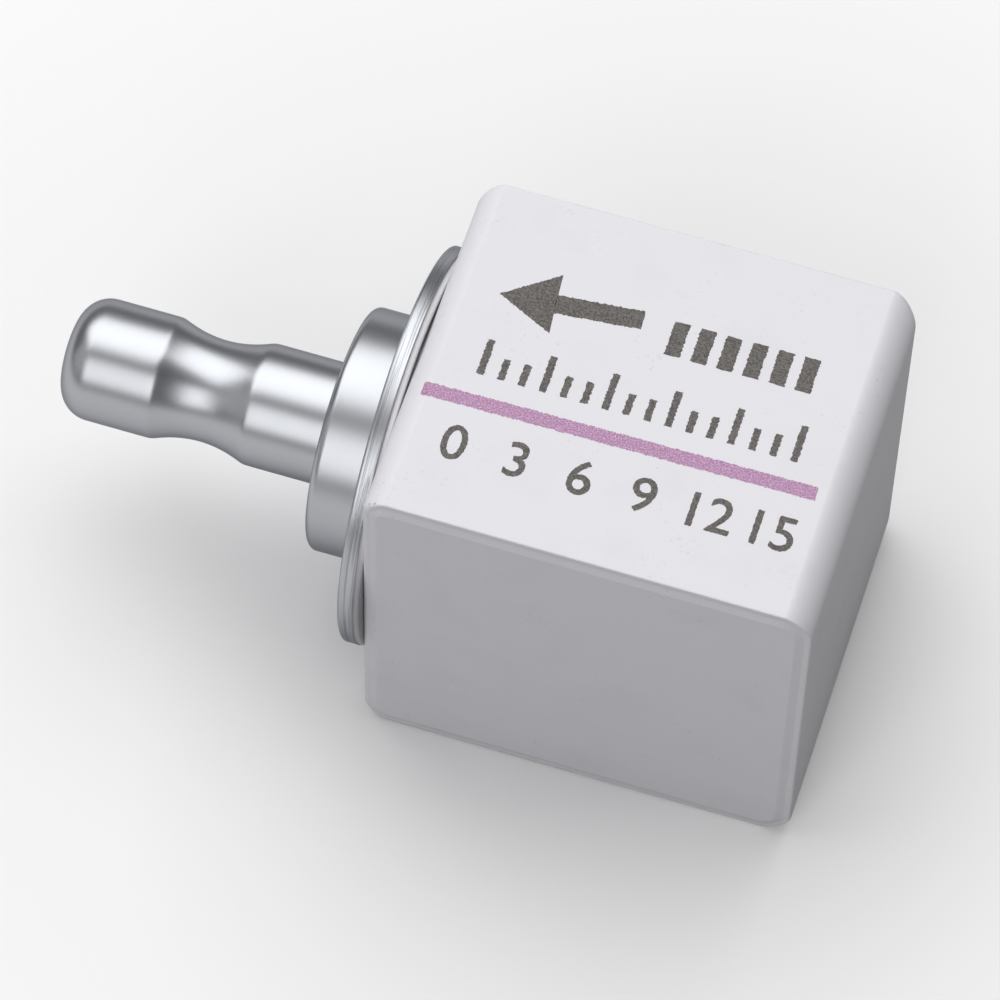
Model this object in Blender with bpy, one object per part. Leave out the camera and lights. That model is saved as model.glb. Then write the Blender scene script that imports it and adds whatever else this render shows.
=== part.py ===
"""Zirconia milling block: a pressed, pre-sintered ceramic block bonded to a turned aluminium mandrel.

The block stands on its bottom face. The origin is the middle of that face, +Z is up, and the mandrel's
axis runs along X, level with the middle of the block, with the shank pointing towards -X.
"""

import math

import bmesh
import bpy

MM = 0.001

# The ceramic block: overall size, then the radii that the press leaves on its edges
BLOCK_LENGTH = 21.5 * MM
BLOCK_WIDTH = 18.5 * MM
BLOCK_HEIGHT = 20.5 * MM
LONG_EDGE_RADIUS = 0.5 * MM
UPRIGHT_EDGE_RADIUS = 0.8 * MM
BONDED_END_RADIUS = 0.8 * MM
FREE_END_RADIUS = 1.1 * MM
BLOCK_EDGE_SEGMENTS = 6

# The cured adhesive between the block's end face and the flange
BOND_THICKNESS = 0.15 * MM
BOND_SET_IN = 0.2 * MM

# The mandrel, turned from one bar: flange, collar, shank with a waist groove and a rounded tip.
# The flange is round, and stops just short of the block's top and bottom.
FLANGE_SET_IN = 0.5 * MM
FLANGE_THICKNESS = 0.75 * MM
FLANGE_RIM_RADIUS = 0.3 * MM
COLLAR_DIAMETER = 12.0 * MM
COLLAR_LENGTH = 2.9 * MM
COLLAR_EDGE_RADIUS = 0.8 * MM
SHANK_DIAMETER = 6.0 * MM
SHANK_LENGTH = 13.6 * MM
SHANK_ROOT_FILLET = 0.15 * MM
TIP_RADIUS = 1.5 * MM
WAIST_FROM_COLLAR = 4.2 * MM
WAIST_LENGTH = 4.6 * MM
WAIST_DEPTH = 0.5 * MM

# How finely the curves are cut into flat faces
TURNED_STEPS = 72
FILLET_STEPS = 5
WAIST_STEPS = 12

# Where the pieces meet
AXIS_HEIGHT = BLOCK_HEIGHT / 2
FLANGE_DIAMETER = BLOCK_HEIGHT - 2 * FLANGE_SET_IN
BONDED_FACE_X = -BLOCK_LENGTH / 2


def clear_scene():
    for obj in list(bpy.data.objects):
        bpy.data.objects.remove(obj, do_unlink=True)


def finish(name, color, roughness, metallic=0.0):
    material = bpy.data.materials.new(name)
    material.use_nodes = True
    shader = material.node_tree.nodes["Principled BSDF"]
    shader.inputs["Base Color"].default_value = (*color, 1.0)
    shader.inputs["Roughness"].default_value = roughness
    shader.inputs["Metallic"].default_value = metallic
    return material


def add_object(name, mesh, material):
    obj = bpy.data.objects.new(name, mesh)
    obj.data.materials.append(material)
    bpy.context.scene.collection.objects.link(obj)
    return obj


def arc(center, radius, start_degrees, end_degrees, steps):
    """Points (distance from the axis, place along it) on an arc, both ends included."""
    points = []
    for i in range(steps + 1):
        angle = math.radians(start_degrees + (end_degrees - start_degrees) * i / steps)
        across = center[0] + radius * math.cos(angle)
        along = center[1] + radius * math.sin(angle)
        points.append((across, along))
    return points


def edge_radius(first, second):
    """The radius of the block's edge between two corners, by the faces that meet there."""
    middle = (first + second) / 2
    if abs(middle.x) < BLOCK_LENGTH / 4:
        return LONG_EDGE_RADIUS
    if abs(middle.z - AXIS_HEIGHT) < BLOCK_HEIGHT / 4:
        return UPRIGHT_EDGE_RADIUS
    return FREE_END_RADIUS if middle.x > 0 else BONDED_END_RADIUS


def make_block():
    """A box whose twelve edges are rounded, each group by its own radius."""
    largest = max(LONG_EDGE_RADIUS, UPRIGHT_EDGE_RADIUS, BONDED_END_RADIUS, FREE_END_RADIUS)
    form = bmesh.new()
    bmesh.ops.create_cube(form, size=1.0)
    for corner in form.verts:
        corner.co.x *= BLOCK_LENGTH
        corner.co.y *= BLOCK_WIDTH
        corner.co.z = AXIS_HEIGHT + corner.co.z * BLOCK_HEIGHT
    weight = form.edges.layers.float.new("bevel_weight_edge")
    for edge in form.edges:
        edge[weight] = edge_radius(edge.verts[0].co, edge.verts[1].co) / largest
    mesh = bpy.data.meshes.new("zirconia_block")
    form.to_mesh(mesh)
    form.free()

    block = add_object("zirconia_block", mesh, finish("pressed_zirconia", (0.80, 0.79, 0.83), 0.75))
    rounding = block.modifiers.new("rounded_edges", "BEVEL")
    rounding.limit_method = "WEIGHT"
    rounding.width = largest
    rounding.segments = BLOCK_EDGE_SEGMENTS
    rounding.use_clamp_overlap = False
    mesh.shade_smooth()
    return block


def turn(name, profile, material):
    """Turns a profile about the mandrel's axis.

    The profile runs from the shank's end to the block's end. Each point is (distance from the axis,
    distance from the block's bonded face towards the shank's tip).
    """
    mesh = bpy.data.meshes.new(name)
    points = [(across, 0.0, along) for across, along in profile]
    mesh.from_pydata(points, [(i, i + 1) for i in range(len(points) - 1)], [])
    piece = add_object(name, mesh, material)
    turning = piece.modifiers.new("turned", "SCREW")
    turning.axis = "Z"
    turning.steps = TURNED_STEPS
    turning.render_steps = TURNED_STEPS
    turning.use_merge_vertices = True
    turning.merge_threshold = 0.001 * MM
    turning.use_smooth_shade = True
    piece.location = (BONDED_FACE_X, 0.0, AXIS_HEIGHT)
    piece.rotation_euler = (0.0, -math.pi / 2, 0.0)
    return piece


def waist_points(radius, near_collar, near_tip):
    """The waist: a shallow arc cut into the shank, from its tip side to its collar side."""
    half = (near_tip - near_collar) / 2
    cutter_radius = (half**2 + WAIST_DEPTH**2) / (2 * WAIST_DEPTH)
    center = (radius - WAIST_DEPTH + cutter_radius, (near_tip + near_collar) / 2)
    spread = math.degrees(math.asin(half / cutter_radius))
    return arc(center, cutter_radius, 180 - spread, 180 + spread, WAIST_STEPS)


def make_mandrel():
    """One turned piece: rounded tip, shank, waist, collar and the flange that carries the block."""
    back = BOND_THICKNESS
    flange_front = back + FLANGE_THICKNESS
    collar_front = flange_front + COLLAR_LENGTH
    tip = collar_front + SHANK_LENGTH
    waist_start = collar_front + WAIST_FROM_COLLAR
    shank, collar, flange = SHANK_DIAMETER / 2, COLLAR_DIAMETER / 2, FLANGE_DIAMETER / 2
    rim = min(FLANGE_RIM_RADIUS, FLANGE_THICKNESS / 2.2)

    profile = [(0.0, tip)]
    profile += arc((shank - TIP_RADIUS, tip - TIP_RADIUS), TIP_RADIUS, 90, 0, 2 * FILLET_STEPS)
    profile += waist_points(shank, waist_start, waist_start + WAIST_LENGTH)
    root_center = (shank + SHANK_ROOT_FILLET, collar_front + SHANK_ROOT_FILLET)
    profile += arc(root_center, SHANK_ROOT_FILLET, 180, 270, 3)
    collar_center = (collar - COLLAR_EDGE_RADIUS, collar_front - COLLAR_EDGE_RADIUS)
    profile += arc(collar_center, COLLAR_EDGE_RADIUS, 90, 0, FILLET_STEPS)
    profile.append((collar, flange_front))
    profile += arc((flange - rim, flange_front - rim), rim, 90, 0, FILLET_STEPS)
    profile += arc((flange - rim, back + rim), rim, 0, -90, FILLET_STEPS)
    profile.append((0.0, back))
    return turn("mandrel", profile, finish("turned_aluminium", (0.72, 0.73, 0.75), 0.28, 1.0))


def make_bond_film():
    """The adhesive: a thin disc that fills the joint as far as the flat of the block's end face."""
    flat_height = BLOCK_HEIGHT / 2 - BONDED_END_RADIUS
    flat_width = BLOCK_WIDTH / 2 - UPRIGHT_EDGE_RADIUS
    flange_flat = FLANGE_DIAMETER / 2 - FLANGE_RIM_RADIUS
    radius = min(flat_height, flat_width, flange_flat) - BOND_SET_IN
    profile = [(0.0, BOND_THICKNESS), (radius, BOND_THICKNESS), (radius, 0.0), (0.0, 0.0)]
    return turn("bond_film", profile, finish("cured_adhesive", (0.55, 0.50, 0.42), 0.5))


clear_scene()
make_block()
make_mandrel()
make_bond_film()
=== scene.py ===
"""Zirconia milling block: the pressed block with its print, the turned mandrel and the adhesive.

The frame gives each piece's place. Lengths are in millimetres until they go into a mesh.
"""

import math

import bmesh
import bpy
import numpy as np
from mathutils import Matrix, Vector


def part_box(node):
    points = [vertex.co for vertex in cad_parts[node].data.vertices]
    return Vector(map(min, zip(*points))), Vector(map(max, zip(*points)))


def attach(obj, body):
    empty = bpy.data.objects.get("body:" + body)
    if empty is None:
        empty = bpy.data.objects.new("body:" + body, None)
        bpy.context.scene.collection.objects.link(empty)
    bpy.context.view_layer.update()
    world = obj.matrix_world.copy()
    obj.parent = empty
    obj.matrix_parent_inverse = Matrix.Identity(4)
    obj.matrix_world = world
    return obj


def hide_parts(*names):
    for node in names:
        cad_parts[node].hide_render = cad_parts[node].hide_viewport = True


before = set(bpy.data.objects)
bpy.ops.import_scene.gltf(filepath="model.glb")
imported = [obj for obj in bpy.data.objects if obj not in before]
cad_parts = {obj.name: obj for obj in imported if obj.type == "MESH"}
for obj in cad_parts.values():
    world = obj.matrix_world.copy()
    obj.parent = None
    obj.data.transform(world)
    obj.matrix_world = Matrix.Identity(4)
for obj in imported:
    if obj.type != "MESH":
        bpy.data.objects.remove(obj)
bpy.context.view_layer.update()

MM = 0.001


# Camera
# A long lens looks steeply down on the printed face, from the front and a little from the free end,
# and is rolled slightly. The picture is square.
AIM = Vector((-6.32, -1.24, 9.77)) * MM
AZIMUTH, ELEVATION, ROLL = (math.radians(angle) for angle in (16.04, 59.87, -1.70))
CAMERA_DISTANCE = 289.8 * MM
LENS, SENSOR_WIDTH = 220.4, 36.0
NEAR_CLIP, FAR_CLIP = 10 * MM, 10000 * MM


def add_camera():
    look = Vector((-math.sin(AZIMUTH) * math.cos(ELEVATION),
                   math.cos(AZIMUTH) * math.cos(ELEVATION),
                   -math.sin(ELEVATION)))
    level = look.cross(Vector((0, 0, 1))).normalized()
    up = level.cross(look) * math.cos(ROLL) + level * math.sin(ROLL)
    right = look.cross(up)
    camera = bpy.data.objects.new("camera", bpy.data.cameras.new("camera"))
    camera.data.lens = LENS
    camera.data.sensor_width = SENSOR_WIDTH
    camera.data.clip_start, camera.data.clip_end = NEAR_CLIP, FAR_CLIP
    camera.matrix_world = Matrix.Translation(AIM - look * CAMERA_DISTANCE) @ Matrix(
        (right, up, -look)).transposed().to_4x4()
    bpy.context.scene.collection.objects.link(camera)
    bpy.context.scene.camera = camera


add_camera()


# The ceramic block
# One blank of zirconia powder, pressed in a die and fired only until it holds together, so that it
# can be milled. The die rounds the edges of both ends, and the punches leave a narrow ledge and a
# shallow slope round the front and back faces. It is chalky and matt, with a faint lavender cast.
BONDED_END_RADIUS = 1.15
FREE_END_RADII = (1.5, 1.35)  # at the bottom, at the top
END_FLATNESS = 1.3
LONG_EDGE_RADIUS = 0.08
FRONT_UPRIGHT_RADII, BACK_UPRIGHT_RADII = (0.34, 0.12), (0.7, 1.0)  # at the bonded end, at the free end
LEDGE_WIDTH, SLOPE_WIDTH, SLOPE_DEPTH = 0.34, 0.40, 0.12
LEAST_LEDGE, LEAST_SLOPE = 0.02, 0.04
CERAMIC, SMUDGE, SCUFF = (0.80, 0.79, 0.83), (0.74, 0.73, 0.78), (0.62, 0.61, 0.65)
SPECK, CHIP = (0.45, 0.43, 0.43), (0.30, 0.28, 0.28)

# Room kept inside the frame's box, for the print on top and for the adhesive at the bonded end
PRINT_ROOM, BOND_ROOM = 0.015, 0.15

# How finely the block is cut. The shares place rings close to each bend, so that smooth shading keeps it.
SIDE_STEPS, CORNER_STEPS, EDGE_STEPS = 110, 12, 8
LEDGE_SHARES, SLOPE_SHARES = (0.1, 0.85), (0.0, 0.15, 0.85, 1.0)
WALL_SHARES = (0.002, *np.linspace(0.04, 0.96, 19), 0.998)
FACE_SHARES = (0.0, 0.1, 0.3, 0.5, 0.7, 0.85, 0.94, 0.98, 0.995)

block_low, block_high = (np.array(corner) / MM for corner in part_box("zirconia_block"))
TOP_FACE = block_high[2] - PRINT_ROOM
BONDED_FACE = block_low[0] + BOND_ROOM


def outline_columns(along_side, along_corner):
    """Places round a rounded rectangle, anticlockwise from the middle of its first corner.

    Each column is (share across, share up, normal across, normal up): the shares place a point on the
    rectangle of the corner centres, and the normal is the direction in which the radius is added.
    The columns on a side crowd towards its ends, by half a cosine.
    """
    ease = 0.5 - 0.5 * np.cos(np.linspace(0, np.pi, along_side + 1)[1:-1])
    turn = np.radians(np.linspace(0, 90, along_corner + 1))
    columns = []
    for quarter, (share_x, share_y) in enumerate(((1, 1), (0, 1), (0, 0), (1, 0))):
        angle = turn + quarter * np.pi / 2
        corner = np.ones_like(angle)
        columns.append(np.stack([share_x * corner, share_y * corner, np.cos(angle), np.sin(angle)], 1))
        end_x, end_y = ((0, 1), (0, 0), (1, 0), (1, 1))[quarter]
        side = np.ones_like(ease)
        columns.append(np.stack([share_x + (end_x - share_x) * ease, share_y + (end_y - share_y) * ease,
                                 side * np.cos(angle[-1]), side * np.sin(angle[-1])], 1))
    return np.concatenate(columns)


def block_rings(columns):
    """Rings of points from the middle of the back face, along the sides, to the middle of the front face.

    The point at inset d is its corner's centre plus (radius - d) times the normal, each part of which is
    raised to END_FLATNESS: 1 gives a round corner and 2 a plain chamfer. The radius runs evenly from each
    corner's to the next one's, and the sides between them stay flat. Round the front and back faces an
    edge of radius r, which grows from the long edges to the upright ones with the square of the normal,
    is followed by the ledge and the slope.
    """
    share_x, share_z, normal_x, normal_z = columns.T
    reach_x, reach_z = (np.sign(normal) * abs(normal) ** END_FLATNESS for normal in (normal_x, normal_z))
    free_radius = FREE_END_RADII[0] + (FREE_END_RADII[1] - FREE_END_RADII[0]) * share_z
    radius = BONDED_END_RADIUS + (free_radius - BONDED_END_RADIUS) * share_x
    center_x = BONDED_FACE + radius + (block_high[0] - BONDED_FACE - 2 * radius) * share_x
    center_z = block_low[2] + radius + (TOP_FACE - block_low[2] - 2 * radius) * share_z

    def ring(inset, y):
        x, z = center_x + (radius - inset) * reach_x, center_z + (radius - inset) * reach_z
        return np.stack([x, y + 0 * x, z], 1)

    def border(upright_radius, face, inward):
        edge = LONG_EDGE_RADIUS + (upright_radius - LONG_EDGE_RADIUS) * normal_x**2
        ledge = np.maximum(LEDGE_WIDTH, edge + LEAST_LEDGE)
        slope = np.maximum(LEDGE_WIDTH + SLOPE_WIDTH, ledge + LEAST_SLOPE)
        turn = np.radians(np.linspace(0, 90, EDGE_STEPS + 1))
        steps = [(edge * (1 - math.cos(a)), SLOPE_DEPTH + edge * (1 - math.sin(a))) for a in turn]
        steps += [(edge + (ledge - edge) * share, SLOPE_DEPTH) for share in LEDGE_SHARES]
        steps += [(ledge + (slope - ledge) * share, SLOPE_DEPTH * (1 - share)) for share in SLOPE_SHARES]
        return [ring(inset, face + inward * depth) for inset, depth in steps]

    back = border(np.where(normal_x < 0, *BACK_UPRIGHT_RADII), block_high[1], -1)[::-1]
    front = border(np.where(normal_x < 0, *FRONT_UPRIGHT_RADII), block_low[1], 1)
    wall = [back[-1] + (front[0] - back[-1]) * share for share in WALL_SHARES]

    def inward(edge):
        middle = (edge.max(0) + edge.min(0)) / 2
        return [middle + (edge - middle) * share for share in FACE_SHARES]

    return np.array(inward(back[0]) + back + wall + front + inward(front[-1])[::-1])


def add_closed_surfaces(name, parts, material, smooth=True):
    """One mesh of closed surfaces. Each part is rings of points, whose first and last become one point."""
    points, faces, start = [], [], 0
    for rings in parts:
        count, around = rings.shape[:2]
        index = start + 1 + np.arange((count - 2) * around).reshape(count - 2, around)
        after = np.roll(index, -1, axis=1)
        end = start + 1 + (count - 2) * around
        walls = np.stack([index[:-1], after[:-1], after[1:], index[1:]], -1).reshape(-1, 4)
        first = np.stack([0 * index[0] + start, after[0], index[0]], -1)
        last = np.stack([0 * index[0] + end, index[-1], after[-1]], -1)
        points.append(np.concatenate([rings[0, :1], rings[1:-1].reshape(-1, 3), rings[-1, :1]]) * MM)
        faces += first.tolist() + walls.tolist() + last.tolist()
        start = end + 1
    mesh = bpy.data.meshes.new(name)
    mesh.from_pydata(np.concatenate(points).tolist(), [], faces)
    if smooth:
        mesh.shade_smooth()
    return add_piece(name, mesh, material)


def add_piece(name, mesh, material):
    mesh.materials.clear()
    mesh.materials.append(material)
    piece = bpy.data.objects.new(name, mesh)
    bpy.context.scene.collection.objects.link(piece)
    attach(piece, "root")
    return piece


class Finish:
    """A material with short calls for the nodes that its pattern needs.

    Patterns are in millimetres: noise of scale 2 has features about half a millimetre wide.
    """

    def __init__(self, name, roughness, metallic=0.0):
        self.material = bpy.data.materials.new(name)
        self.material.use_nodes = True
        self.nodes, self.links = self.material.node_tree.nodes, self.material.node_tree.links
        self.shader = self.nodes["Principled BSDF"]
        self.shader.inputs["Roughness"].default_value = roughness
        self.shader.inputs["Metallic"].default_value = metallic
        self.place = self.nodes.new("ShaderNodeTexCoord").outputs["Object"]

    def wire(self, value, socket):
        if isinstance(value, bpy.types.NodeSocket):
            self.links.new(value, socket)
        else:
            socket.default_value = value

    def in_mm(self, stretch=(1, 1, 1)):
        mapping = self.nodes.new("ShaderNodeMapping")
        mapping.inputs["Scale"].default_value = [share / MM for share in stretch]
        self.links.new(self.place, mapping.inputs["Vector"])
        return mapping.outputs["Vector"]

    def noise(self, scale, detail=3.0, stretch=(1, 1, 1)):
        node = self.nodes.new("ShaderNodeTexNoise")
        node.inputs["Scale"].default_value = scale
        node.inputs["Detail"].default_value = detail
        self.links.new(self.in_mm(stretch), node.inputs["Vector"])
        return node.outputs["Fac"]

    def ramp(self, value, start, end, low=0.0, high=1.0):
        node = self.nodes.new("ShaderNodeMapRange")
        self.links.new(value, node.inputs["Value"])
        for name, number in (("From Min", start), ("From Max", end), ("To Min", low), ("To Max", high)):
            node.inputs[name].default_value = number
        return node.outputs["Result"]

    def math(self, operation, first, second):
        node = self.nodes.new("ShaderNodeMath")
        node.operation = operation
        self.wire(first, node.inputs[0])
        self.wire(second, node.inputs[1])
        return node.outputs["Value"]

    def times(self, first, second):
        return self.math("MULTIPLY", first, second)

    def either(self, first, second):
        return self.math("MAXIMUM", first, second)

    def mix(self, share, first, second):
        node = self.nodes.new("ShaderNodeMix")
        node.data_type = "RGBA"
        self.wire(share, node.inputs["Factor"])
        for color, socket in ((first, "A_Color"), (second, "B_Color")):
            socket = next(s for s in node.inputs if s.identifier == socket)
            self.wire((*color, 1.0) if isinstance(color, tuple) else color, socket)
        return next(s for s in node.outputs if s.identifier == "Result_Color")

    def near(self, point, reach):
        """1 at a point, and falling to 0 at the reach."""
        away = self.nodes.new("ShaderNodeVectorMath")
        away.operation = "DISTANCE"
        self.links.new(self.in_mm(), away.inputs[0])
        away.inputs[1].default_value = point
        return self.ramp(away.outputs["Value"], 0.0, reach, 1.0, 0.0)

    def along_x(self, start, end):
        """1 between two places along X, and 0 elsewhere."""
        parts = self.nodes.new("ShaderNodeSeparateXYZ")
        self.links.new(self.in_mm(), parts.inputs["Vector"])
        return self.times(self.math("GREATER_THAN", parts.outputs["X"], start),
                          self.math("LESS_THAN", parts.outputs["X"], end))

    def specks(self, cell, radius, share, core=0.6, full=0.9):
        """Small spots: one in each cell of a scatter, of which only the given share is kept.

        A spot is solid inside core times its radius. Of the kept ones, the share full has full strength.
        """
        node = self.nodes.new("ShaderNodeTexVoronoi")
        node.inputs["Scale"].default_value = 1 / cell
        self.links.new(self.in_mm(), node.inputs["Vector"])
        spot = self.ramp(node.outputs["Distance"], radius / cell, core * radius / cell)
        kept = self.nodes.new("ShaderNodeSeparateColor")
        self.links.new(node.outputs["Color"], kept.inputs["Color"])
        return self.times(spot, self.ramp(kept.outputs["Red"], 1 - share, 1 - full * share))

    def color(self, value):
        self.wire(value, self.shader.inputs["Base Color"])

    def bump(self, height, depth):
        node = self.nodes.new("ShaderNodeBump")
        node.inputs["Distance"].default_value = depth * MM
        node.inputs["Strength"].default_value = 1.0
        self.links.new(height, node.inputs["Height"])
        self.links.new(node.outputs["Normal"], self.shader.inputs["Normal"])


def ceramic_pattern(finish):
    """The chalky ground of the block: broad smudges, patches of faint scuffs and a few dark specks."""
    smudges = finish.ramp(finish.noise(scale=0.35), start=0.5, end=0.8, high=0.5)
    smudged = finish.mix(smudges, CERAMIC, SMUDGE)
    scuffs = finish.ramp(finish.noise(scale=5.0, detail=5.0), start=0.60, end=0.72, high=0.5)
    patches = finish.ramp(finish.noise(scale=0.45, detail=1.0), start=0.52, end=0.66)
    scuffed = finish.mix(finish.times(scuffs, patches), smudged, SCUFF)
    return finish.mix(finish.specks(cell=0.9, radius=0.03, share=0.25), scuffed, SPECK)


CHIPPED_CORNER, CHIP_REACH = (-9.9, -9.1, 20.4), 1.6
ceramic = Finish("ceramic", roughness=0.62)
chips = ceramic.times(ceramic.specks(cell=0.3, radius=0.07, share=0.5),
                      ceramic.near(CHIPPED_CORNER, CHIP_REACH))
ceramic.color(ceramic.mix(chips, ceramic_pattern(ceramic), CHIP))
ceramic.bump(ceramic.noise(scale=9.0, detail=5.0), depth=0.006)
block_columns = outline_columns(SIDE_STEPS, CORNER_STEPS)
pressed_block = add_closed_surfaces("pressed_block", [block_rings(block_columns)],
                                    ceramic.material)
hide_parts("zirconia_block")


# The printed stripe
# A band of mauve ink across the top face, laid down in fine dots, so that its edges are ragged
# and its colour is a mixture of pink and violet grains.
STRIPE_START, STRIPE_END = (-9.78, -2.62), (8.98, -2.48)
STRIPE_WIDTH = 0.72
INK_THICKNESS = 0.008
INK_LIFT = 0.001
DOT, DOT_SEED = 0.07, 7
POINTS_ACROSS = 6
DEEP_MAUVE, PALE_PINK, VIOLET = (0.36, 0.13, 0.28), (0.64, 0.40, 0.57), (0.36, 0.23, 0.46)

dots = np.random.default_rng(DOT_SEED)


def top_height(x):
    """The height of the block's top at x: the top face, and the soft edge of the bonded end.

    With u the share of the way from the face to the end, f = END_FLATNESS and r the end's radius, the edge
    drops by r * (1 - (1 - u ** (2 / f)) ** (f / 2)).
    """
    u = np.clip((BONDED_FACE + BONDED_END_RADIUS - x) / BONDED_END_RADIUS, 0, 1)
    return TOP_FACE - BONDED_END_RADIUS * (1 - (1 - u ** (2 / END_FLATNESS)) ** (END_FLATNESS / 2))


def ribbon(start, end, widths, ragged=0.035):
    """Rings of a flat strip of ink from start to end, as thin as a film.

    The point at share s along and share w across is start + s * (end - start), plus the side direction
    times (w - 0.5) times the width there. Its long edges and its ends wander by a random part of a dot.
    """
    start, end = np.array(start), np.array(end)
    length = math.dist(start, end)
    along = (end - start) / length
    side = np.array([-along[1], along[0]])
    steps = max(2, round(length / DOT))
    share = np.linspace(0, 1, steps + 1)[:, None]
    width = np.interp(share, np.linspace(0, 1, len(widths)), widths)
    across = np.linspace(-0.5, 0.5, POINTS_ACROSS) * width
    across[:, [0, -1]] += dots.uniform(-ragged, ragged, (steps + 1, 2))
    reach = share * length + 0 * across
    reach[[0, -1]] += dots.uniform(-ragged, ragged, (2, POINTS_ACROSS))
    flat = start + reach[..., None] * along + across[..., None] * side
    lower = np.concatenate([flat, top_height(flat[..., :1]) + INK_LIFT], -1)
    upper = lower + (0, 0, INK_THICKNESS)
    section = np.concatenate([lower, upper[:, ::-1]], 1)
    caps = section[[0, -1]].mean(1, keepdims=True) + 0 * section[[0, -1]]
    return np.concatenate([caps[:1], section, caps[1:]])


stripe_ink = Finish("stripe_ink", roughness=0.5)
pinks = stripe_ink.ramp(stripe_ink.noise(scale=14.0, detail=2.0), start=0.40, end=0.60)
grains = stripe_ink.mix(pinks, DEEP_MAUVE, PALE_PINK)
violets = stripe_ink.ramp(stripe_ink.noise(scale=8.0, detail=1.0), start=0.48, end=0.72)
grains = stripe_ink.mix(violets, grains, VIOLET)
stripe_ink.color(stripe_ink.mix(stripe_ink.specks(cell=0.15, radius=0.03, share=0.2), grains, CERAMIC))
add_closed_surfaces("stripe", [ribbon(STRIPE_START, STRIPE_END, (STRIPE_WIDTH, STRIPE_WIDTH))],
                    stripe_ink.material, smooth=False)


# The printed marks
# Dark ink on the top face: an arrow towards the mandrel, a row of bars, and a plain millimetre scale
# whose numbers stand under the stripe. The ink is thin, so the white shows through it in specks.
ARROW_TAIL, ARROW_NECK, ARROW_POINT = (-1.2, 3.95), (-5.3, 3.55), (-7.9, 3.30)
ARROW_SHAFT, ARROW_HEAD, ARROW_TIP = 1.0, 3.2, 0.05
BAR_START, BAR_PITCH, BAR_COUNT, BAR_SIZE = (0.6, 3.45), 1.25, 6, (0.75, 1.85)
SCALE_LENGTH, SCALE_STEP, SCALE_LABEL_STEP = 15, 1, 3
TICK_FOOT, TICK_LONG, TICK_SHORT, TICK_WIDTH = -1.15, 1.95, 1.15, 0.34
NUMBER_FOOT, NUMBER_SIZE, NUMBER_WEIGHT = -5.85, 2.6, 0.022
WELD_DISTANCE = 0.0001
DARK_INK, WORN_INK, GAP_IN_INK = (0.062, 0.056, 0.052), (0.17, 0.155, 0.143), (0.40, 0.39, 0.39)

dark_ink = Finish("dark_ink", roughness=0.6)
wear = dark_ink.ramp(dark_ink.noise(scale=13.0, detail=3.0), start=0.38, end=0.62)
mottled = dark_ink.mix(wear, DARK_INK, WORN_INK)
dark_ink.color(dark_ink.mix(dark_ink.specks(cell=0.15, radius=0.022, share=0.12), mottled, GAP_IN_INK))

arrow = [ribbon(ARROW_TAIL, ARROW_NECK, (ARROW_SHAFT, ARROW_SHAFT)),
         ribbon(ARROW_NECK, ARROW_POINT, (ARROW_HEAD, ARROW_TIP))]
add_closed_surfaces("arrow", arrow, dark_ink.material, smooth=False)

bars = []
for number in range(BAR_COUNT):
    x = BAR_START[0] + number * BAR_PITCH
    foot, head = BAR_START[1] - BAR_SIZE[1] / 2, BAR_START[1] + BAR_SIZE[1] / 2
    bars.append(ribbon((x, foot), (x, head), (BAR_SIZE[0], BAR_SIZE[0])))
add_closed_surfaces("bars", bars, dark_ink.material, smooth=False)

ticks = []
for millimetre in range(0, SCALE_LENGTH + 1, SCALE_STEP):
    x = millimetre - SCALE_LENGTH / 2
    height = TICK_LONG if millimetre % SCALE_LABEL_STEP == 0 else TICK_SHORT
    ticks.append(ribbon((x, TICK_FOOT), (x, TICK_FOOT + height), (TICK_WIDTH, TICK_WIDTH)))
add_closed_surfaces("scale_ticks", ticks, dark_ink.material, smooth=False)


def curve_mesh(curve):
    holder = bpy.data.objects.new("curve", curve)
    bpy.context.scene.collection.objects.link(holder)
    bpy.context.view_layer.update()
    mesh = bpy.data.meshes.new_from_object(holder.evaluated_get(bpy.context.evaluated_depsgraph_get()))
    bpy.data.objects.remove(holder)
    return mesh


def ragged_outlines(number, ragged=0.018):
    """The closed outlines of a plain number, cut to dots' length.

    Each point goes out from the stroke by NUMBER_WEIGHT, square to the line between its neighbours, and
    wanders by a random part of a dot. An outline starts at the point that its closing edge leads back to.
    """
    text = bpy.data.curves.new("number", "FONT")
    text.body, text.size, text.align_x = str(number), NUMBER_SIZE, "CENTER"
    text.fill_mode = "NONE"
    mesh = curve_mesh(text)
    points, ends = np.empty((len(mesh.vertices), 3)), np.empty((len(mesh.edges), 2), int)
    mesh.vertices.foreach_get("co", points.ravel())
    mesh.edges.foreach_get("vertices", ends.ravel())
    points, starts = points[:, :2], ends[ends[:, 1] < ends[:, 0], 1]
    for outline in np.split(points, starts[1:]):
        outline = np.concatenate([outline, outline[:1]])
        reach = np.concatenate([[0], np.linalg.norm(np.diff(outline, axis=0), axis=1).cumsum()])
        places = np.linspace(0, reach[-1], round(reach[-1] / DOT), endpoint=False)
        dotted = np.stack([np.interp(places, reach, outline[:, axis]) for axis in (0, 1)], 1)
        along = np.roll(dotted, -1, axis=0) - np.roll(dotted, 1, axis=0)
        outward = along[:, ::-1] * (1, -1) / np.linalg.norm(along, axis=1, keepdims=True)
        yield dotted + NUMBER_WEIGHT * outward + dots.uniform(-ragged, ragged, dotted.shape)


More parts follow.
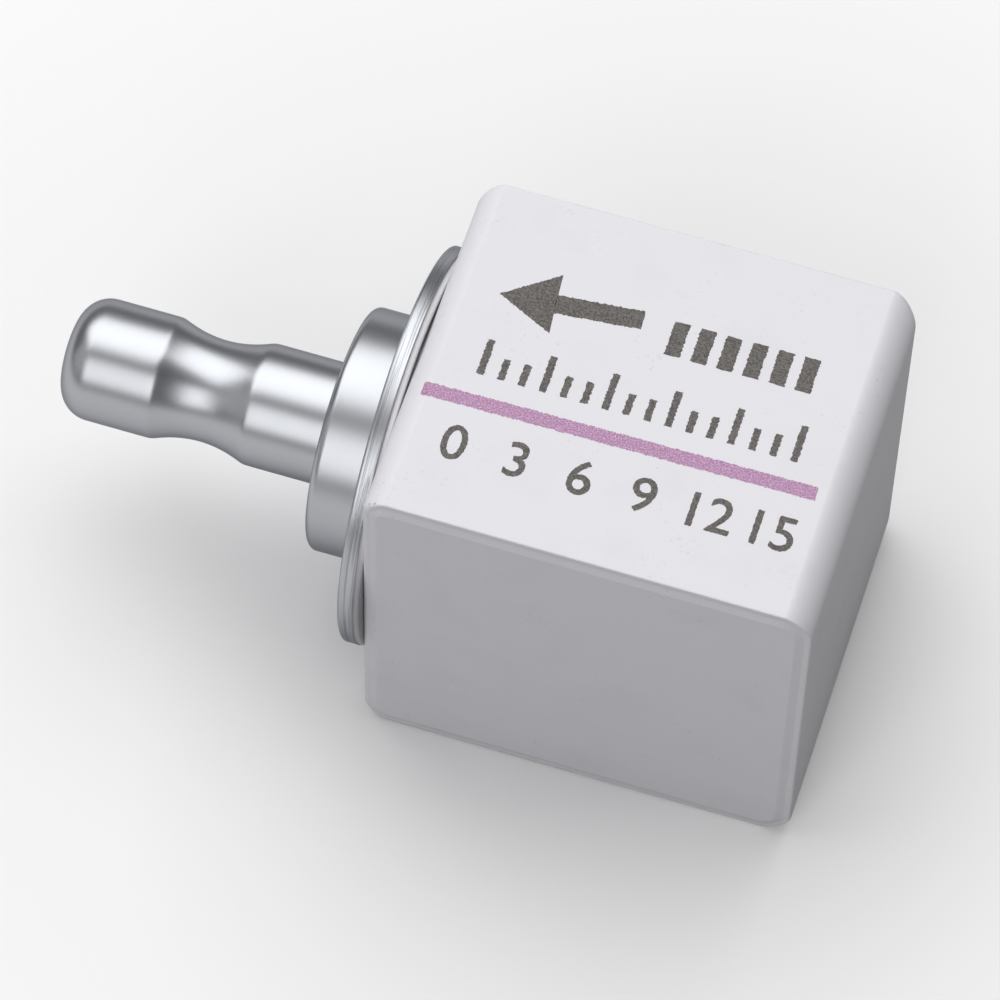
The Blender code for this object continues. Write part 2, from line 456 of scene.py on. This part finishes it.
def add_number(millimetre):
    """A plain number centred on its tick."""
    shape = bpy.data.curves.new("number", "CURVE")
    shape.dimensions, shape.fill_mode, shape.extrude = "2D", "BOTH", INK_THICKNESS / 2
    for outline in ragged_outlines(millimetre):
        spline = shape.splines.new("POLY")
        spline.use_cyclic_u = True
        spline.points.add(len(outline) - 1)
        level = np.zeros((len(outline), 1))
        spline.points.foreach_set("co", np.concatenate([outline, level, level + 1], 1).ravel())
    mesh = curve_mesh(shape)
    form = bmesh.new()
    form.from_mesh(mesh)
    bmesh.ops.remove_doubles(form, verts=form.verts, dist=WELD_DISTANCE)
    bmesh.ops.recalc_face_normals(form, faces=form.faces)
    form.to_mesh(mesh)
    form.free()
    place = (millimetre - SCALE_LENGTH / 2, NUMBER_FOOT, TOP_FACE + INK_LIFT + INK_THICKNESS / 2)
    mesh.transform(Matrix.Scale(MM, 4) @ Matrix.Translation(place))
    mesh.shade_flat()
    return add_piece(f"number_{millimetre}", mesh, dark_ink.material)


for millimetre in range(0, SCALE_LENGTH + 1, SCALE_LABEL_STEP):
    add_number(millimetre)


# The adhesive
# A thin, cured film that sticks the block to the flange, squeezed out over the flange's chamfer until it
# is almost flush with the rim. A narrow seam stays open between it and the block at the top and the
# bottom. It is pale at the top. The grey it turns away from the top, at the sides and the bottom, is
# painted shade.
FILM_THICKNESS, FILM_OVERLAP = 0.06, 0.02
FILM_SET_IN, FILM_EDGE = 0.05, 0.09
SEAM_FOOT, SEAM_STEP, SEAM_WIDTH = 9.0, 0.02, 0.06
SEAM_CLOSES_FROM, SEAM_CLOSES_OVER = 0.55, 0.35
RIM_CHAMFER = 0.3
TURNED_STEPS = 288
# The third colour is painted shade, for the film away from its top.
PALE_FILM, DULL_FILM, PAINTED_SHADE_FILM = (0.70, 0.69, 0.71), (0.62, 0.61, 0.62), (0.40, 0.40, 0.42)

film_low, film_high = (np.array(corner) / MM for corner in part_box("bond_film"))
AXIS = (film_low[1:] + film_high[1:]) / 2
SPIN = np.linspace(0, 2 * np.pi, TURNED_STEPS, endpoint=False)


def turned_rings(profile):
    """Rings of a piece turned about the mandrel's axis, from points (radius, place along X), +X first."""
    radius, along = np.array(profile).T[..., None]
    across, up = AXIS[0] + radius * np.cos(SPIN), AXIS[1] - radius * np.sin(SPIN)
    return np.stack([along + 0 * SPIN, across, up], -1)


def arc(radius, along, size, start, end, steps=12):
    """Points on an arc about (radius, along), from one angle to another in degrees from the outward way."""
    angle = np.radians(np.linspace(start, end, steps + 1))
    return list(zip(radius + size * np.cos(angle), along + size * np.sin(angle)))


mandrel_low, mandrel_high = (np.array(corner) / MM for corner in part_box("mandrel"))
FLANGE_BACK = BONDED_FACE - FILM_THICKNESS
flange_radius = (mandrel_high[2] - mandrel_low[2]) / 2
film_radius = flange_radius - FILM_SET_IN


def film_profile(seam):
    """From the middle of the block's side, out past a seam of the given width, to the flange's side."""
    side = BONDED_FACE - seam
    return ([(0, BONDED_FACE + FILM_OVERLAP), (SEAM_FOOT, BONDED_FACE), (SEAM_FOOT + SEAM_STEP, side)]
            + arc(film_radius - FILM_EDGE, side - FILM_EDGE, FILM_EDGE, 90, 0, steps=6)
            + [(film_radius, FLANGE_BACK - RIM_CHAMFER + FILM_SET_IN),
               (film_radius - RIM_CHAMFER, FLANGE_BACK), (0, FLANGE_BACK)])


# The seam is open at the top and bottom, and closes towards the sides as the cosine of SPIN grows.
closed = np.clip((abs(np.cos(SPIN)) - SEAM_CLOSES_FROM) / SEAM_CLOSES_OVER, 0, 1)[:, None]
open_rings, shut_rings = (turned_rings(film_profile(seam)) for seam in (SEAM_WIDTH, 0.0))
film_rings = (1 - closed) * open_rings + closed * shut_rings
adhesive = Finish("adhesive", roughness=0.5)
pale = adhesive.mix(adhesive.noise(scale=1.5), PALE_FILM, DULL_FILM)
painted_shade_mask = adhesive.near((BONDED_FACE, AXIS[0], AXIS[1] + film_radius), reach=2 * film_radius)
# Painted shade: the film's colour turns grey away from its top, towards the sides and the bottom.
adhesive.color(adhesive.mix(adhesive.ramp(painted_shade_mask, start=0.35, end=0.55), PAINTED_SHADE_FILM, pale))
film = add_closed_surfaces("adhesive", [film_rings], adhesive.material)
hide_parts("bond_film")


# The mandrel
# One piece turned from aluminium bar: a thin round flange that carries the block, a collar that seats
# on the chuck's face, and a shank with a waist and a rounded tip. It is satin, with fine turning lines.
# The lines on the rim are cut by the bump, and their darker colour is painted shade in the grooves.
COLLAR_DIAMETER = 12.0
COLLAR_FRONT, FLANGE_FRONT = 3.8, 0.9
COLLAR_EDGE_RADIUS = 0.4
SHANK_DIAMETER = 6.0
SHANK_ROOT_FILLET = 0.15
TIP_RADIUS = 1.5
WAIST_START, WAIST_END, WAIST_DEPTH, WAIST_SOFTNESS = 8.0, 12.6, 0.5, 0.05
WAIST_STEPS, WAIST_RUN_OUT = 64, 0.12
RIM_FRONT_RADIUS = 0.12
# A rim line is cut RIM_LINE_DEPTH times as deep as the turning.
RIM_LINE_PITCH, RIM_LINE_DEPTH, TURNING_DEPTH = 0.06, 3.0, 0.0015
# The third colour is painted shade in the rim's grooves.
ALUMINIUM, DULLER_ALUMINIUM, PAINTED_GROOVE_SHADE = (0.45, 0.46, 0.485), (0.425, 0.435, 0.46), (0.31, 0.32, 0.34)
GRAZING_TINT = (0.4, 0.4, 0.42, 1.0)

FACE = block_low[0]


def waist_profile():
    """The waist from its collar side to its tip side: a shallow arc whose ends ease into the shank.

    With d = WAIST_DEPTH * (1 - (2 s - 1) ** 2) at share s, the depth is half of
    d + sqrt(d ** 2 + WAIST_SOFTNESS ** 2), less what is left of it where the profile starts.
    """
    share = np.linspace(-WAIST_RUN_OUT, 1 + WAIST_RUN_OUT, WAIST_STEPS + 1)
    arched = WAIST_DEPTH * (1 - (2 * share - 1) ** 2)
    depth = (arched + np.sqrt(arched ** 2 + WAIST_SOFTNESS ** 2)) / 2
    depth -= depth[0]
    return list(zip(SHANK_DIAMETER / 2 - depth, FACE - WAIST_START - share * (WAIST_END - WAIST_START)))


def hold_straight(points, hold=0.03):
    """Adds a point close to both ends of each run longer than four holds.

    The shading is smooth, and these points keep it to the corners.
    """
    held = [points[0]]
    for (radius, along), (next_radius, next_along) in zip(points, points[1:]):
        length = math.dist((radius, along), (next_radius, next_along))
        if length > 4 * hold:
            for share in (hold / length, 1 - hold / length):
                held.append((radius + share * (next_radius - radius), along + share * (next_along - along)))
        held.append((next_radius, next_along))
    return held


def mandrel_profile():
    """From the middle of the flange's back, out over the rim, and along the collar and shank to the tip."""
    back, front = FLANGE_BACK, FACE - FLANGE_FRONT
    collar, shank = COLLAR_DIAMETER / 2, SHANK_DIAMETER / 2
    seat, tip = FACE - COLLAR_FRONT, mandrel_low[0]
    points = [(0, back), (flange_radius - RIM_CHAMFER, back), (flange_radius, back - RIM_CHAMFER)]
    points += arc(flange_radius - RIM_FRONT_RADIUS, front + RIM_FRONT_RADIUS, RIM_FRONT_RADIUS, 0, -90)
    points += [(collar, front)]
    points += arc(collar - COLLAR_EDGE_RADIUS, seat + COLLAR_EDGE_RADIUS, COLLAR_EDGE_RADIUS, 0, -90)
    points += arc(shank + SHANK_ROOT_FILLET, seat - SHANK_ROOT_FILLET, SHANK_ROOT_FILLET, 90, 180, steps=5)
    points += waist_profile()
    points += arc(shank - TIP_RADIUS, tip + TIP_RADIUS, TIP_RADIUS, 0, -90, steps=20)
    return hold_straight(points + [(0, tip)])


aluminium = Finish("aluminium", roughness=0.34, metallic=1.0)
aluminium.shader.inputs["Specular Tint"].default_value = GRAZING_TINT
satin = aluminium.mix(aluminium.noise(scale=3.0, stretch=(6, 0.4, 0.4)), ALUMINIUM, DULLER_ALUMINIUM)
rim_lines = aluminium.noise(scale=1 / RIM_LINE_PITCH, detail=1.0, stretch=(1, 0.01, 0.01))
rim_lines = aluminium.ramp(rim_lines, start=0.53, end=0.60)
on_rim = aluminium.along_x(FACE - FLANGE_FRONT, FLANGE_BACK - RIM_CHAMFER)
rim_lines = aluminium.times(rim_lines, on_rim)
# Painted shade: the rim's grooves are coloured darker, as shade in them would make them.
aluminium.color(aluminium.mix(rim_lines, satin, PAINTED_GROOVE_SHADE))
turning = aluminium.noise(scale=10.0, detail=2.0, stretch=(4, 0.15, 0.15))
relief = aluminium.math("SUBTRACT", turning, aluminium.times(rim_lines, RIM_LINE_DEPTH))
aluminium.bump(relief, depth=TURNING_DEPTH)
mandrel = add_closed_surfaces("turned_mandrel", [turned_rings(mandrel_profile())],
                              aluminium.material)
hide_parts("mandrel")


# The floor
# A wide plain white sheet under the part. It is white to the camera, to metal and to glass, and passes
# less light on to matt surfaces, so that the block's sides stay darker than its top. It keeps the part's
# shadow, and goes over to an even white away from it.
FLOOR_SIZE, FLOOR_DROP = 1.6, 0.01 * MM
FLOOR_SEEN, FLOOR_PASSED_ON = (0.90, 0.90, 0.905), (0.30, 0.30, 0.305)
SHADOW_CENTER, SHADOW_START, SHADOW_REACH = (-6.0, 0.0, 0.0), 12.0, 60.0


def add_floor():
    half = FLOOR_SIZE / 2
    mesh = bpy.data.meshes.new("floor")
    corners = [(x * half, y * half, -FLOOR_DROP) for x, y in ((-1, -1), (1, -1), (1, 1), (-1, 1))]
    mesh.from_pydata(corners, [], [(0, 1, 2, 3)])
    paper = Finish("floor_paper", roughness=0.9)
    rays = paper.nodes.new("ShaderNodeLightPath").outputs
    seen = paper.either(rays["Is Camera Ray"], rays["Is Glossy Ray"])
    seen = paper.either(seen, rays["Is Transmission Ray"])
    paper.color(paper.mix(seen, FLOOR_PASSED_ON, FLOOR_SEEN))
    paper.shader.inputs["Specular IOR Level"].default_value = 0.1
    shaded = paper.ramp(paper.near(SHADOW_CENTER, SHADOW_REACH), 0.0, 1 - SHADOW_START / SHADOW_REACH)
    white = paper.nodes.new("ShaderNodeEmission")
    blend = paper.nodes.new("ShaderNodeMixShader")
    paper.links.new(paper.times(seen, paper.math("SUBTRACT", 1.0, shaded)), blend.inputs["Fac"])
    paper.links.new(paper.shader.outputs["BSDF"], blend.inputs[1])
    paper.links.new(white.outputs["Emission"], blend.inputs[2])
    paper.links.new(blend.outputs["Shader"], paper.nodes["Material Output"].inputs["Surface"])
    mesh.materials.append(paper.material)
    floor = bpy.data.objects.new("floor", mesh)
    bpy.context.scene.collection.objects.link(floor)


add_floor()


# Studio light
# Softboxes stand round the part, placed by the angles at which the turned metal mirrors them. A faint even
# light fills the rest of the room.
SOFTBOX_DISTANCE = 0.6
ROOM_LIGHT = 0.11


def add_softbox(name, azimuth, elevation, size, radiance):
    """A lamp that faces the part. Its power is radiance times pi times its area."""
    lamp = bpy.data.lights.new(name, "AREA")
    lamp.shape = "RECTANGLE"
    lamp.size, lamp.size_y = size
    lamp.energy = radiance * math.pi * size[0] * size[1]
    a, e = math.radians(azimuth), math.radians(elevation)
    way = Vector((math.sin(a) * math.cos(e), -math.cos(a) * math.cos(e), math.sin(e)))
    holder = bpy.data.objects.new(name, lamp)
    holder.rotation_mode = "QUATERNION"
    holder.rotation_quaternion = way.to_track_quat("Z", "Y")
    holder.location = way * SOFTBOX_DISTANCE
    bpy.context.scene.collection.objects.link(holder)


add_softbox("overhead", azimuth=-152, elevation=65, size=(0.74, 0.64), radiance=2.4)
add_softbox("front_panel", azimuth=-9, elevation=36, size=(0.33, 0.46), radiance=2.3)
add_softbox("left_panel", azimuth=-62, elevation=30, size=(0.45, 0.45), radiance=0.5)

world = bpy.data.worlds.new("studio")
world.use_nodes = True
world.node_tree.nodes["Background"].inputs["Color"].default_value = (ROOM_LIGHT,) * 3 + (1.0,)
bpy.context.scene.world = world

bpy.context.scene.view_settings.view_transform = "Standard"
